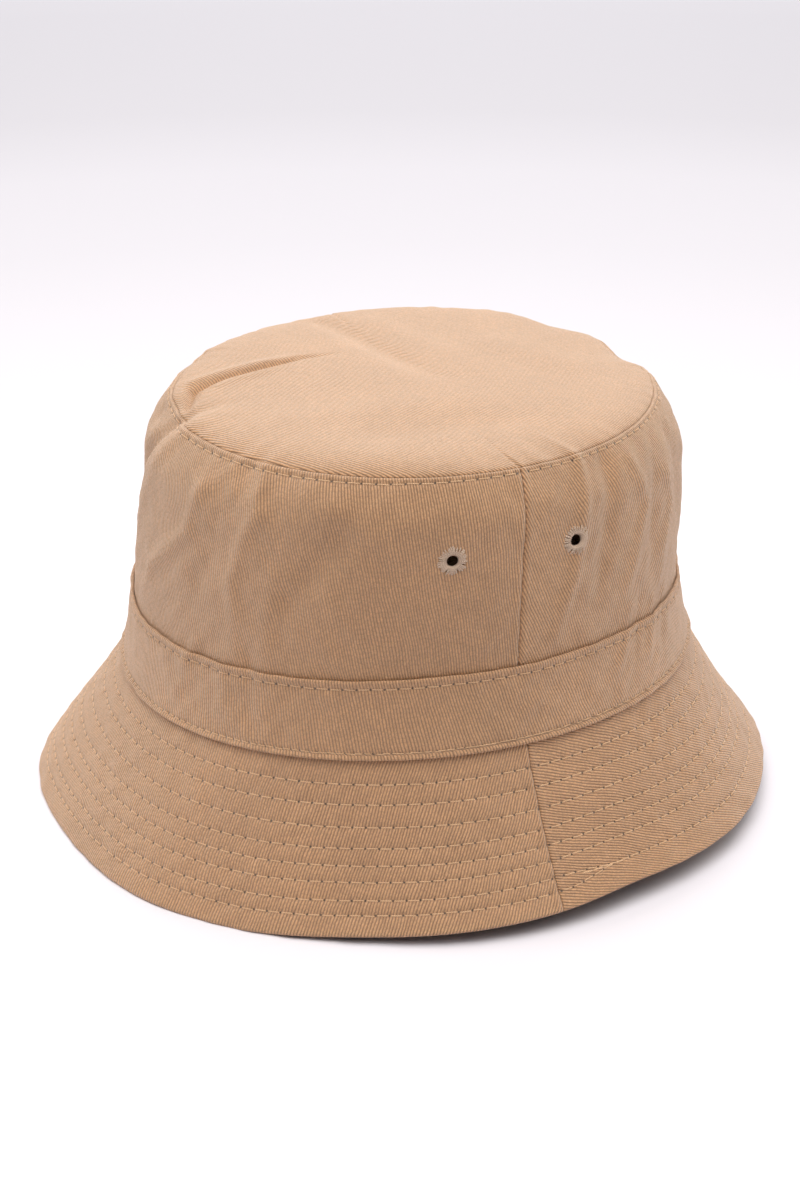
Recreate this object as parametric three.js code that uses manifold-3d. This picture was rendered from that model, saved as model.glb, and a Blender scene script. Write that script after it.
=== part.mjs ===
// Bucket hat, sewn from cotton twill.
//
// Millimetres, +Z up, origin on the table under the middle of the hat. +X is the front of the hat,
// the long way of the head, and the side seams are at -Y and +Y. The hat stands on its brim.
//
// Every cloth layer is turned about Z as a ring, cut into its panels, and then warped: the ring
// becomes the oval of a head, and the brim edge lifts off the table along part of its length.

import * as THREE from "three";
import { mergeVertices } from "three/addons/utils/BufferGeometryUtils.js";
import Module from "manifold-3d";

// Driving dimensions
const TIP_HEIGHT = 139.5; // of the seam round the flat top
const TIP_DOME = 1.6; // rise of the top between its seam and its centre
const BAND_TOP = 76; // heights of the band's two folded edges
const BAND_BOTTOM = 50;
const HEAD_SEAM = 52; // height where the crown meets the brim, under the band
const CROWN_RADIUS = 91; // outside the crown, at the band's top edge
const CROWN_TAPER = 3.4; // how much narrower the crown gets going up
const SHOULDER_ROUNDING = 8.8; // how much more it turns in at the shoulder
const HEAD_FLARE = 3.8; // how much wider it gets from the band's top to the head seam
const BRIM_RADIUS = 125.6; // at the brim's edge
const BRIM_HOLLOW = 1.2; // how far the brim's slope sags in at its middle
const OVAL = 2.4; // added to the radius front and back, taken off it at the sides

const CLOTH = 0.9; // one layer of twill
const BAND_CLOTH = 1.1; // the band, with its edges folded in
const INTERLINING = 0.8;
const TAPE = 0.7;
const GAP = 0.3; // between pieces that touch
const SEGMENTS = 48; // facets round the hat
const CROWN_STEPS = 4; // facets up the crown above the band, and behind it
const BAND_STEPS = 3;
const BRIM_STEPS = 3; // facets down the brim
const HEM_TURN = 2.6; // how far the top cloth rolls under the brim's edge

const LIFT_HEIGHT = 8; // the brim edge lifts at the front's right side
const LIFT_DIRECTION = -55;
const LIFT_START = 1;
const SIDE_LIFT_HEIGHT = 3.2; // and a little at the rear's left side
const SIDE_LIFT_DIRECTION = 132;
const SIDE_LIFT_HALF_WIDTH = 42;
const LIFT_CURVE = 1.6;

const EYELET_OUTER = 4.75; // radii of an embroidered eyelet
const EYELET_HOLE = 1.5;
const EYELET_BARREL = 2.4;
const EYELET_THREAD = 0.8;
const EYELET_CLEARANCE = 0.7; // between its flat flanges and the curved cloth
const EYELET_HEIGHT = 115;
const EYELET_ANGLE = 14; // to each side of a side seam

const SWEATBAND_TOP = 82;
const SWEATBAND_BOTTOM = 53;
const SEAM_TAPE_WIDTH = 12;
const TIP_TAPE_WIDTH = 10;
const THREAD = 0.5; // width of a stitch row
const EDGE_STITCH = 2.6; // from a folded edge to its row
const BRIM_ROWS = [7.7, 14.3, 21.6, 28.5, 34.2, 39.6, 45.6, 50.5]; // from the band's bottom edge

const LABEL_WIDTH = 26;
const LABEL_LENGTH = 34;
const LABEL_THICKNESS = 0.9;
const LABEL_TOP = 80;
const LABEL_BACK = 89.6; // from the hat's axis to the label's outer face

const wasm = await Module();
wasm.setup();
const rad = THREE.MathUtils.degToRad;
const hat = new THREE.Group();

// Materials
function cloth(colour, roughness = 0.95) {
  return new THREE.MeshStandardMaterial({ color: colour, roughness, metalness: 0 });
}
const twill = (shade) => cloth(new THREE.Color("#d3b08f").multiplyScalar(shade));
const threadMaterial = () => cloth("#dcb99c", 0.7);
const tapeMaterial = () => cloth("#d8c3ad");

// Outside radius of the crown's cloth at a height
function crownRadius(z) {
  if (z < BAND_TOP) {
    const down = (BAND_TOP - z) / (BAND_TOP - HEAD_SEAM);
    return CROWN_RADIUS + HEAD_FLARE * down ** 2;
  }
  const up = (z - BAND_TOP) / (TIP_HEIGHT - BAND_TOP);
  return CROWN_RADIUS - CROWN_TAPER * up - SHOULDER_ROUNDING * up ** 4;
}

// Points (radius, height) down the outside of the crown between two heights
function crownLine(top, bottom, steps) {
  const line = [];
  for (let i = 0; i <= steps; i += 1) {
    const z = THREE.MathUtils.lerp(top, bottom, i / steps);
    line.push(new THREE.Vector2(crownRadius(z), z));
  }
  return line;
}

const crownOutside = [
  ...crownLine(TIP_HEIGHT, BAND_TOP, CROWN_STEPS),
  ...crownLine(BAND_TOP, HEAD_SEAM, BAND_STEPS).slice(1),
];

// A point on the outside of the brim, from 0 at the head seam to 1 at the edge
const brimInner = new THREE.Vector2(crownRadius(HEAD_SEAM), HEAD_SEAM - GAP);
const brimEdge = new THREE.Vector2(BRIM_RADIUS, 0);

function brimPoint(down) {
  const point = brimInner.clone().lerp(brimEdge, down);
  point.x -= 4 * BRIM_HOLLOW * down * (1 - down);
  return point;
}

const brimOutside = [];
for (let i = 0; i <= BRIM_STEPS; i += 1) brimOutside.push(brimPoint(i / BRIM_STEPS));

// The same line moved out along its normals, or in where the distance is negative
function offset(line, distance) {
  return line.map((point, i) => {
    const before = line[Math.max(i - 1, 0)];
    const after = line[Math.min(i + 1, line.length - 1)];
    const along = after.clone().sub(before).normalize();
    return new THREE.Vector2(point.x - along.y * distance, point.y + along.x * distance);
  });
}

// Closed outline of a layer that lies between two distances from a line
function layer(line, outer, inner) {
  return [...offset(line, outer), ...offset(line, inner).reverse()];
}

function turned(outline, segments = SEGMENTS) {
  const closed = [...outline, outline[0]].map((p) => p.clone()).reverse();
  const geometry = new THREE.LatheGeometry(closed, segments, Math.PI / 2);
  geometry.rotateX(Math.PI / 2);
  return geometry;
}

// A three.js mesh as a solid that can be cut, and back again
function solid(geometry) {
  const bare = geometry.clone();
  bare.deleteAttribute("normal");
  bare.deleteAttribute("uv");
  const merged = mergeVertices(bare, 1e-4);
  const mesh = new wasm.Mesh({
    numProp: 3,
    vertProperties: new Float32Array(merged.attributes.position.array),
    triVerts: new Uint32Array(merged.index.array),
  });
  const result = new wasm.Manifold(mesh);
  if (result.volume() > 0) return result;
  for (let i = 0; i < mesh.triVerts.length; i += 3) {
    const swap = mesh.triVerts[i];
    mesh.triVerts[i] = mesh.triVerts[i + 1];
    mesh.triVerts[i + 1] = swap;
  }
  return new wasm.Manifold(mesh);
}

function toGeometry(manifold) {
  const mesh = manifold.getMesh();
  const geometry = new THREE.BufferGeometry();
  geometry.setAttribute("position", new THREE.BufferAttribute(mesh.vertProperties, 3));
  geometry.setIndex(new THREE.BufferAttribute(mesh.triVerts, 1));
  return geometry;
}

// How far the brim's edge is off the table in a direction
function lift(angle) {
  const front = LIFT_HEIGHT * Math.cos(angle - rad(LIFT_DIRECTION)) - LIFT_START;
  const turn = angle - rad(SIDE_LIFT_DIRECTION);
  const away = Math.atan2(Math.sin(turn), Math.cos(turn)) / rad(SIDE_LIFT_HALF_WIDTH);
  const side = Math.abs(away) < 1 ? SIDE_LIFT_HEIGHT * Math.cos((away * Math.PI) / 2) ** 2 : 0;
  return Math.max(front, 0) + side;
}

// Makes the round hat oval and lifts its brim
function warp(geometry) {
  const position = geometry.attributes.position;
  for (let i = 0; i < position.count; i += 1) {
    const x = position.getX(i);
    const y = position.getY(i);
    const z = position.getZ(i);
    const radius = Math.hypot(x, y);
    const angle = Math.atan2(y, x);
    const inside = Math.min(radius / (CROWN_RADIUS - CROWN_TAPER - SHOULDER_ROUNDING), 1);
    const wide = radius + OVAL * Math.cos(2 * angle) * inside;
    const down = THREE.MathUtils.clamp(1 - z / HEAD_SEAM, 0, 1);
    const up = z + lift(angle) * down ** LIFT_CURVE;
    position.setXYZ(i, wide * Math.cos(angle), wide * Math.sin(angle), up);
  }
  geometry.computeVertexNormals();
  return geometry;
}

function add(name, manifold, material) {
  const mesh = new THREE.Mesh(warp(toGeometry(manifold)), material);
  mesh.name = name;
  hat.add(mesh);
}

// Cutters
function box(width, depth, height, x, y, z) {
  return solid(new THREE.BoxGeometry(width, depth, height).translate(x, y, z));
}

const LARGE = 400;
const frontHalf = box(LARGE, LARGE, LARGE, LARGE / 2 + GAP / 2, 0, 0);
const rearHalf = box(LARGE, LARGE, LARGE, -LARGE / 2 - GAP / 2, 0, 0);

// Flat top: one oval of twill, set inside the top edge of the side panels
const tipEdge = crownRadius(TIP_HEIGHT) - CLOTH - GAP;
const tipOutline = [
  new THREE.Vector2(0, TIP_HEIGHT + TIP_DOME),
  new THREE.Vector2(tipEdge * 0.5, TIP_HEIGHT + TIP_DOME * 0.75),
  new THREE.Vector2(tipEdge, TIP_HEIGHT),
  new THREE.Vector2(tipEdge, TIP_HEIGHT - CLOTH),
  new THREE.Vector2(tipEdge * 0.5, TIP_HEIGHT + TIP_DOME * 0.75 - CLOTH),
  new THREE.Vector2(0, TIP_HEIGHT + TIP_DOME - CLOTH),
];
function turnedFromAxis(outline) {
  const geometry = new THREE.LatheGeometry([...outline].reverse(), SEGMENTS, Math.PI / 2);
  return geometry.rotateX(Math.PI / 2);
}
add("crown_tip", solid(turnedFromAxis(tipOutline)), twill(1.05));

// Eyelets: thread worked over both faces of the cloth round a punched hole
function atEyelet(geometry, angle) {
  const below = crownOutside.findIndex((point) => point.y < EYELET_HEIGHT);
  const [high, low] = [crownOutside[below - 1], crownOutside[below]];
  const part = (EYELET_HEIGHT - low.y) / (high.y - low.y);
  const radius = THREE.MathUtils.lerp(low.x, high.x, part) * Math.cos(Math.PI / SEGMENTS);
  geometry.rotateY(Math.PI / 2 - Math.atan2(low.x - high.x, high.y - low.y));
  geometry.translate(radius - CLOTH / 2, 0, EYELET_HEIGHT);
  return geometry.rotateZ(angle);
}

const eyeletFace = CLOTH / 2 + EYELET_CLEARANCE;
const eyeletTop = eyeletFace + EYELET_THREAD;
const eyeletOutline = [
  new THREE.Vector2(EYELET_HOLE, eyeletTop),
  new THREE.Vector2(EYELET_OUTER - 0.5, eyeletTop),
  new THREE.Vector2(EYELET_OUTER, eyeletFace),
  new THREE.Vector2(EYELET_BARREL, eyeletFace),
  new THREE.Vector2(EYELET_BARREL, -eyeletFace),
  new THREE.Vector2(EYELET_OUTER, -eyeletFace),
  new THREE.Vector2(EYELET_OUTER - 0.5, -eyeletTop),
  new THREE.Vector2(EYELET_HOLE, -eyeletTop),
];
const EYELET_SIDES = 16;
const eyelets = [
  { name: "eyelet_left_front", angle: rad(90 - EYELET_ANGLE) },
  { name: "eyelet_left_rear", angle: rad(90 + EYELET_ANGLE) },
  { name: "eyelet_right_front", angle: rad(-90 + EYELET_ANGLE) },
  { name: "eyelet_right_rear", angle: rad(-90 - EYELET_ANGLE) },
];
for (const { name, angle } of eyelets) {
  add(name, solid(atEyelet(turned(eyeletOutline, EYELET_SIDES), angle)), threadMaterial());
}

// Side panels of the crown, front and rear, joined at the two side seams
let crownWall = solid(turned(layer(crownOutside, 0, -CLOTH)));
for (const { angle } of eyelets) {
  const punch = new THREE.CylinderGeometry(EYELET_BARREL + GAP, EYELET_BARREL + GAP, 20, EYELET_SIDES);
  punch.rotateX(Math.PI / 2);
  crownWall = crownWall.subtract(solid(atEyelet(punch, angle)));
}
add("crown_side_front", crownWall.intersect(frontHalf), twill(0.9));
add("crown_side_rear", crownWall.intersect(rearHalf), twill(0.94));

// Band: one strip with folded edges, over the seam between crown and brim
const bandFoot = brimPoint((HEAD_SEAM - BAND_BOTTOM) / HEAD_SEAM);
const bandLine = [...crownOutside.slice(CROWN_STEPS), bandFoot];
add("crown_band", solid(turned(layer(bandLine, GAP + BAND_CLOTH, GAP))), twill(0.82));

// Brim: two panels of top cloth, an interlining, and two panels of under cloth. The top cloth
// rolls under the edge, so it is what the hat stands on.
const underTop = -(CLOTH + GAP);
const underFace = underTop - INTERLINING - GAP;
const brimTopInside = offset(brimOutside, -CLOTH);
const [aboveEdge, atEdge] = brimTopInside.splice(BRIM_STEPS - 1);
const hemCorner = aboveEdge.clone().lerp(atEdge, (aboveEdge.y - CLOTH) / (aboveEdge.y - atEdge.y));
const brimTopOutline = [
  ...brimOutside,
  new THREE.Vector2(BRIM_RADIUS - HEM_TURN, 0),
  new THREE.Vector2(BRIM_RADIUS - HEM_TURN, CLOTH),
  hemCorner,
  aboveEdge,
  ...brimTopInside.reverse(),
];

function aboveHem(ring) {
  const hem = box(LARGE, LARGE, LARGE, 0, 0, LARGE / 2 + CLOTH + GAP);
  return ring.intersect(hem);
}
const brimTop = solid(turned(brimTopOutline));
const brimUnder = solid(turned(layer(brimOutside, underFace, underFace - CLOTH)));
const brimCore = solid(turned(layer(brimOutside, underTop, underTop - INTERLINING)));
add("brim_top_front", brimTop.intersect(frontHalf), twill(1));
add("brim_top_rear", brimTop.intersect(rearHalf), twill(0.97));
add("brim_interlining", aboveHem(brimCore), cloth("#e8e2d8"));
add("brim_under_front", aboveHem(brimUnder).intersect(frontHalf), twill(0.92));
add("brim_under_rear", aboveHem(brimUnder).intersect(rearHalf), twill(0.95));

// Inside: sweatband round the head seam, tapes over the seams of the crown
const sweatbandLine = crownLine(SWEATBAND_TOP, SWEATBAND_BOTTOM, BAND_STEPS);
const insideFace = -(CLOTH + GAP);
add("sweatband", solid(turned(layer(sweatbandLine, insideFace, insideFace - TAPE))), cloth("#cdb59b"));

const tipTapeTop = TIP_HEIGHT - CLOTH - TAPE;
const tipTapeLine = crownLine(tipTapeTop, tipTapeTop - TIP_TAPE_WIDTH, 1);
const tipTapeLayer = layer(tipTapeLine, insideFace - GAP, insideFace - GAP - TAPE);
add("tip_seam_tape", solid(turned(tipTapeLayer)), tapeMaterial());

const seamTapeLine = crownLine(tipTapeTop - TIP_TAPE_WIDTH - 1, SWEATBAND_TOP + 1, 3);
const seamTapeLayer = layer(seamTapeLine, insideFace - GAP, insideFace - GAP - TAPE);
const seamTapeRing = solid(turned(seamTapeLayer));
for (const [name, side] of [["left", 1], ["right", -1]]) {
  const strip = box(SEAM_TAPE_WIDTH, LARGE, LARGE, 0, (side * LARGE) / 2, 0);
  add(`side_seam_tape_${name}`, seamTapeRing.intersect(strip), tapeMaterial());
}

// Care label: a folded ribbon sewn to the sweatband's top edge at the back, hanging from it
const label = new THREE.BoxGeometry(LABEL_THICKNESS, LABEL_WIDTH, LABEL_LENGTH);
label.translate(LABEL_THICKNESS / 2 - LABEL_BACK, 0, LABEL_TOP - LABEL_LENGTH / 2);
const labelMesh = new THREE.Mesh(label, cloth("#f2efe9", 0.6));
labelMesh.name = "care_label";
hat.add(labelMesh);

// Rows of stitching, each a closed thread lying on the cloth
function row(name, point, along, standOff) {
  const out = new THREE.Vector2(-along.y, along.x);
  const near = point.clone().addScaledVector(out, standOff);
  const outline = [
    near.clone().addScaledVector(along, -THREAD / 2),
    near.clone().addScaledVector(out, THREAD),
    near.clone().addScaledVector(along, THREAD / 2),
  ];
  add(name, solid(turned(outline)), threadMaterial());
}

function rowOnLine(name, line, distance, standOff) {
  let left = distance;
  for (let i = 0; i + 1 < line.length; i += 1) {
    const step = line[i + 1].clone().sub(line[i]);
    const length = step.length();
    if (left <= length) {
      const along = step.normalize();
      row(name, line[i].clone().addScaledVector(along, left), along, standOff);
      return;
    }
    left -= length;
  }
}

const onBand = GAP + BAND_CLOTH + GAP;
const bandLength = bandLine.slice(1).reduce((sum, p, i) => sum + p.distanceTo(bandLine[i]), 0);
rowOnLine("tip_edge_stitching", crownOutside, EDGE_STITCH, GAP);
rowOnLine("band_top_stitching", bandLine, EDGE_STITCH, onBand);
rowOnLine("band_bottom_stitching", bandLine, bandLength - EDGE_STITCH, onBand);
const bandFootDistance = bandFoot.distanceTo(brimInner);
BRIM_ROWS.forEach((distance, i) => {
  rowOnLine(`brim_stitching_${i + 1}`, brimOutside, bandFootDistance + distance, GAP);
});

export default hat;
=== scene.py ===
"""A bucket hat in camel cotton twill, standing on its brim.

The cloth is worked out in millimetres: an angle round the hat, a distance down the cloth from the
seam of the tip, and a distance out of it. Meshes are in metres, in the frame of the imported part.
"""
import math

import bmesh
import bpy
import numpy as np
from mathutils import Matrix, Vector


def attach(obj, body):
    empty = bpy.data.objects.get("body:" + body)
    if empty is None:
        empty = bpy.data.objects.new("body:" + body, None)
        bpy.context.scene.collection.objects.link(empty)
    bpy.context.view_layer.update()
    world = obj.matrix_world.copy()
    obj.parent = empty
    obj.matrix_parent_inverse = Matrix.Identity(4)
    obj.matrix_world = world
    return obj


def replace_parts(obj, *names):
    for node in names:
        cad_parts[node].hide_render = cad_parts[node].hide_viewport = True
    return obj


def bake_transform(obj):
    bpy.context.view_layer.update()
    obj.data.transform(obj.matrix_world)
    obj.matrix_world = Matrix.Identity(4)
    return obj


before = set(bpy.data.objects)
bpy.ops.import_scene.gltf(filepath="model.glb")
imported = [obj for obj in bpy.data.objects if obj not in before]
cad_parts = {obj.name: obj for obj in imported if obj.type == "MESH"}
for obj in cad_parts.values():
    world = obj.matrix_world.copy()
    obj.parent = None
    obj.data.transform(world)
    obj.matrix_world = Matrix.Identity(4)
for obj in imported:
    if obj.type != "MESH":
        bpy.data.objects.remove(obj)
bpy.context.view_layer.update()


# ------------------------------------------------
# Table, lights and camera: a white paper sweep under a large soft light overhead and a weaker one
# in front. A wide light behind the hat gives its top a soft gloss, and one at each side lifts the
# sides. All the places and sizes here are in metres.
def linear(colour):
    """An sRGB hex colour as linear RGBA."""
    parts = [int(colour[i : i + 2], 16) / 255 for i in (1, 3, 5)]
    return [p / 12.92 if p <= 0.04045 else ((p + 0.055) / 1.055) ** 2.4 for p in parts] + [1]


def node(tree, kind, settings=None, inputs=None, output=0):
    """Adds a node. Each input is a socket to link or a value to set. Returns one output."""
    made = tree.nodes.new(kind)
    for key, value in (settings or {}).items():
        setattr(made, key, value)
    for key, value in (inputs or {}).items():
        if isinstance(value, bpy.types.NodeSocket):
            tree.links.new(value, made.inputs[key])
        else:
            made.inputs[key].default_value = value
    return made.outputs[output] if made.outputs else made


def new_material(name):
    """An empty material and its node tree."""
    material = bpy.data.materials.new(name)
    material.use_nodes = True
    material.node_tree.nodes.clear()
    return material, material.node_tree


def put(obj):
    bpy.context.scene.collection.objects.link(obj)
    return obj


def soft_light(name, size, power, colour, place):
    """An area light aimed at the hat: size in metres, power in watts."""
    light = bpy.data.lights.new(name, "AREA")
    light.shape = "RECTANGLE"
    light.size, light.size_y = size
    light.energy = power
    light.color = linear(colour)[:3]
    lamp = put(bpy.data.objects.new(name, light))
    lamp.location = place
    lamp.rotation_mode = "QUATERNION"
    lamp.rotation_quaternion = (HAT_MIDDLE - place).to_track_quat("-Z", "Y")


HAT_MIDDLE = Vector((0, 0, 0.07))
CAMERA_TURN = math.radians(-22.5)
CAMERA_RISE = math.radians(25.7)
CAMERA_DISTANCE = 0.8493
AIM = Vector((0.0015, 0.0095, 0.060))
LENS = 74.0

rightward = Vector((math.cos(CAMERA_TURN), math.sin(CAMERA_TURN), 0))
behind = Vector((-math.sin(CAMERA_TURN), math.cos(CAMERA_TURN), 0))
up = Vector((0, 0, 1))
backward = up * math.sin(CAMERA_RISE) - behind * math.cos(CAMERA_RISE)
camera = put(bpy.data.objects.new("camera", bpy.data.cameras.new("camera")))
camera.location = AIM + backward * CAMERA_DISTANCE
camera.rotation_mode = "QUATERNION"
camera.rotation_quaternion = (-backward).to_track_quat("-Z", "Y")
camera.data.lens = LENS
camera.data.clip_start = 0.01
bpy.context.scene.camera = camera
bpy.context.scene.view_settings.view_transform = "Standard"

TABLE_SIZE = 14.0
bpy.ops.mesh.primitive_plane_add(size=TABLE_SIZE)
table = bpy.context.object
table.name = "table"

# Matt white paper with painted shade: its colour greys softly away from the hat, standing in for the
# light falling off there: distances, and shares of white.
PAPER_WHITE = "#f4f1f7"
PAINTED_FALLOFF = [
    (0.34, 0.95), (0.44, 0.80), (0.58, 0.75), (0.72, 0.70), (0.87, 0.67), (1.02, 0.60), (1.34, 0.54)
]
PAINTED_FALLOFF_END = 1.5
PAINTED_FALLOFF_MIDDLE = (-0.046, -0.111, 0)
paper, tree = new_material("matt_white_paper")
inputs = {0: node(tree, "ShaderNodeTexCoord", output=3), 1: PAINTED_FALLOFF_MIDDLE}
away = node(tree, "ShaderNodeVectorMath", {"operation": "DISTANCE"}, inputs, 1)
away = node(tree, "ShaderNodeMapRange", None, {"Value": away, "From Max": PAINTED_FALLOFF_END})
ramp = node(tree, "ShaderNodeValToRGB", None, {"Fac": away})
stops = ramp.node.color_ramp.elements
stops.remove(stops[0])
for index, (distance, share) in enumerate(PAINTED_FALLOFF):
    stop = stops[0] if index == 0 else stops.new(distance / PAINTED_FALLOFF_END)
    stop.position = distance / PAINTED_FALLOFF_END
    stop.color = [channel * share for channel in linear(PAPER_WHITE)[:3]] + [1]
shader = node(tree, "ShaderNodeBsdfDiffuse", None, {"Color": ramp})
node(tree, "ShaderNodeOutputMaterial", None, {"Surface": shader})
table.data.materials.append(paper)

ROOM_COLOUR = "#ebe9f1"
ROOM_STRENGTH = 0.17
world = bpy.data.worlds.new("studio")
bpy.context.scene.world = world
world.use_nodes = True
room = world.node_tree.nodes["Background"]
room.inputs["Color"].default_value = linear(ROOM_COLOUR)
room.inputs["Strength"].default_value = ROOM_STRENGTH

side_light = up * 0.7 + behind * 0.3
soft_light("light_overhead", (1.4, 1.1), 16.6, "#fffdfa", up * 1.4 - behind * 0.18)
soft_light("light_front", (1.6, 0.8), 5.0, "#fffdfa", up * 1.25 - behind * 0.72)
soft_light("light_backdrop", (3.0, 1.3), 46.0, "#ffffff", up * 0.85 + behind * 1.9)
soft_light("light_left", (0.9, 0.9), 6.2, "#fff9f0", side_light - rightward * 1.3)
soft_light("light_right", (0.9, 0.9), 5.5, "#fff9f0", side_light + rightward * 1.3)


# ------------------------------------------------
# Crown side panels: two shallow fans of cotton twill, front and rear, sewn together at the sides
# and seamed to the tip, with a row of stitches just under that seam. Nothing lines them, so they
# stand up in soft bulges and creases. Sizes are in mm from here on.
MM = 0.001
TIP_HEIGHT = 139.5
BAND_TOP = 76.0
HEAD_SEAM = 52.0
CROWN_RADIUS = 91.0
CROWN_TAPER = 3.4
SHOULDER_ROUNDING = 8.8
HEAD_FLARE = 3.8
TIP_RADIUS = CROWN_RADIUS - CROWN_TAPER - SHOULDER_ROUNDING
HEAD_RADIUS = CROWN_RADIUS + HEAD_FLARE
BRIM_RADIUS = 125.6
BRIM_HOLLOW = 1.2
OVAL = 2.4
LIFT_HEIGHT = 8.0
LIFT_MIDDLE = math.radians(-55)
LIFT_START = 1.0
SIDE_LIFT_HEIGHT = 3.2
SIDE_LIFT_MIDDLE = math.radians(132)
SIDE_LIFT_HALF_WIDTH = math.radians(42)
CORNER_LIFT = 1.2
CORNER_MIDDLE = math.radians(-76)
CORNER_REACH = math.radians(11)
LIFT_CURVE = 1.6
RIGHT_SEAM = -math.pi / 2
LEFT_SEAM = math.pi / 2
FULL_TURN = RIGHT_SEAM + 2 * math.pi
CLOTH = 0.6


def crown_radius(height):
    """The crown's radius at a height, before it is made oval."""
    below = np.clip((BAND_TOP - height) / (BAND_TOP - HEAD_SEAM), 0, None)
    above = np.clip((height - BAND_TOP) / (TIP_HEIGHT - BAND_TOP), 0, None)
    return CROWN_RADIUS + HEAD_FLARE * below**2 - CROWN_TAPER * above - SHOULDER_ROUNDING * above**4


def hat_line():
    """The cloth's line from the tip's seam to the brim's edge: length so far, place and normal."""
    crown = np.linspace(TIP_HEIGHT, HEAD_SEAM, 300)
    down = np.linspace(0, 1, 220)[1:]
    brim = HEAD_RADIUS + (BRIM_RADIUS - HEAD_RADIUS) * down - 4 * BRIM_HOLLOW * down * (1 - down)
    radius = np.concatenate([crown_radius(crown), brim])
    height = np.concatenate([crown, HEAD_SEAM * (1 - down)])
    length = np.concatenate([[0], np.cumsum(np.hypot(np.diff(radius), np.diff(height)))])
    lean = np.arctan2(np.gradient(radius, length), -np.gradient(height, length))
    soften = np.hanning(17)
    padded = np.pad(lean, len(soften) // 2, "edge")
    lean = np.convolve(padded, soften / soften.sum(), "valid")
    return length, radius, height, np.cos(lean), np.sin(lean)


LINE = hat_line()


def down_at(height):
    """How far down the cloth a height is."""
    return float(np.interp(-height, -LINE[2], LINE[0]))


HEAD_DOWN = down_at(HEAD_SEAM)
BAND_DOWN = down_at(BAND_TOP)
BRIM_DOWN = float(LINE[0][-1])


def near(value, middle, width):
    """1 at the middle, falling away softly over a width."""
    return np.exp(-(((value - middle) / width) ** 2))


def turned(angle, middle):
    """An angle, taken round to within half a turn of the middle."""
    return middle + np.angle(np.exp(1j * (angle - middle)))


def lift(angle):
    """How far the brim's edge stands off the table."""
    front = np.maximum(LIFT_HEIGHT * np.cos(angle - LIFT_MIDDLE) - LIFT_START, 0)
    turn = angle - SIDE_LIFT_MIDDLE
    away = np.arctan2(np.sin(turn), np.cos(turn)) / SIDE_LIFT_HALF_WIDTH
    side = np.where(abs(away) < 1, SIDE_LIFT_HEIGHT * np.cos(away * np.pi / 2) ** 2, 0)
    corner = CORNER_LIFT * near(turned(angle, CORNER_MIDDLE), CORNER_MIDDLE, CORNER_REACH)
    return front + side + corner


def place(angle, radius, height):
    """Puts a point of the round pattern on the oval hat, with the brim lifted where it rises."""
    wide = radius + OVAL * np.cos(2 * angle) * np.minimum(radius / TIP_RADIUS, 1)
    below = np.clip(1 - height / HEAD_SEAM, 0, 1)
    raised = height + lift(angle) * below**LIFT_CURVE
    return np.stack(np.broadcast_arrays(wide * np.cos(angle), wide * np.sin(angle), raised), -1)


CREASE_FADE = 0.4


def crease(x, y, path, width, height):
    """A soft ridge along a path, or a valley if its height is below 0. Its far end fades out."""
    legs = [(start, stop, math.dist(start, stop)) for start, stop in zip(path[:-1], path[1:])]
    whole = sum(leg[2] for leg in legs)
    nearest, along, done = 1e6 + 0 * x, 0 * x, 0.0
    for start, stop, leg in legs:
        run, fall = (stop[0] - start[0]) / leg, (stop[1] - start[1]) / leg
        part = np.clip((x - start[0]) * run + (y - start[1]) * fall, 0, leg)
        distance = np.hypot(x - start[0] - part * run, y - start[1] - part * fall)
        along = np.where(distance < nearest, (done + part) / whole, along)
        nearest = np.minimum(nearest, distance)
        done = done + leg
    return height * near(nearest, 0, width) * np.clip((1 - along) / CREASE_FADE, 0, 1)


def waves(angle, down, seed, size, counts):
    """Slow uneven waves round the hat, the same in each run."""
    draw = np.random.default_rng(seed)
    total = 0
    for count in counts:
        start, drift = draw.uniform(0, 2 * np.pi, 2)
        slant = draw.uniform(-0.05, 0.05)
        total = total + np.sin(count * angle + start + slant * down) * np.cos(down / 30 + drift)
    return size * total / len(counts)


def unevenness(angle, down):
    """The small unevenness of cloth that was washed and pressed."""
    draw = np.random.default_rng(12)
    total = 0
    for count in range(17, 77, 5):
        start = draw.uniform(0, 2 * np.pi)
        climb = draw.uniform(-0.7, 0.7)
        total = total + np.sin(count * angle + climb * down + start)
    return UNEVENNESS * total


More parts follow.
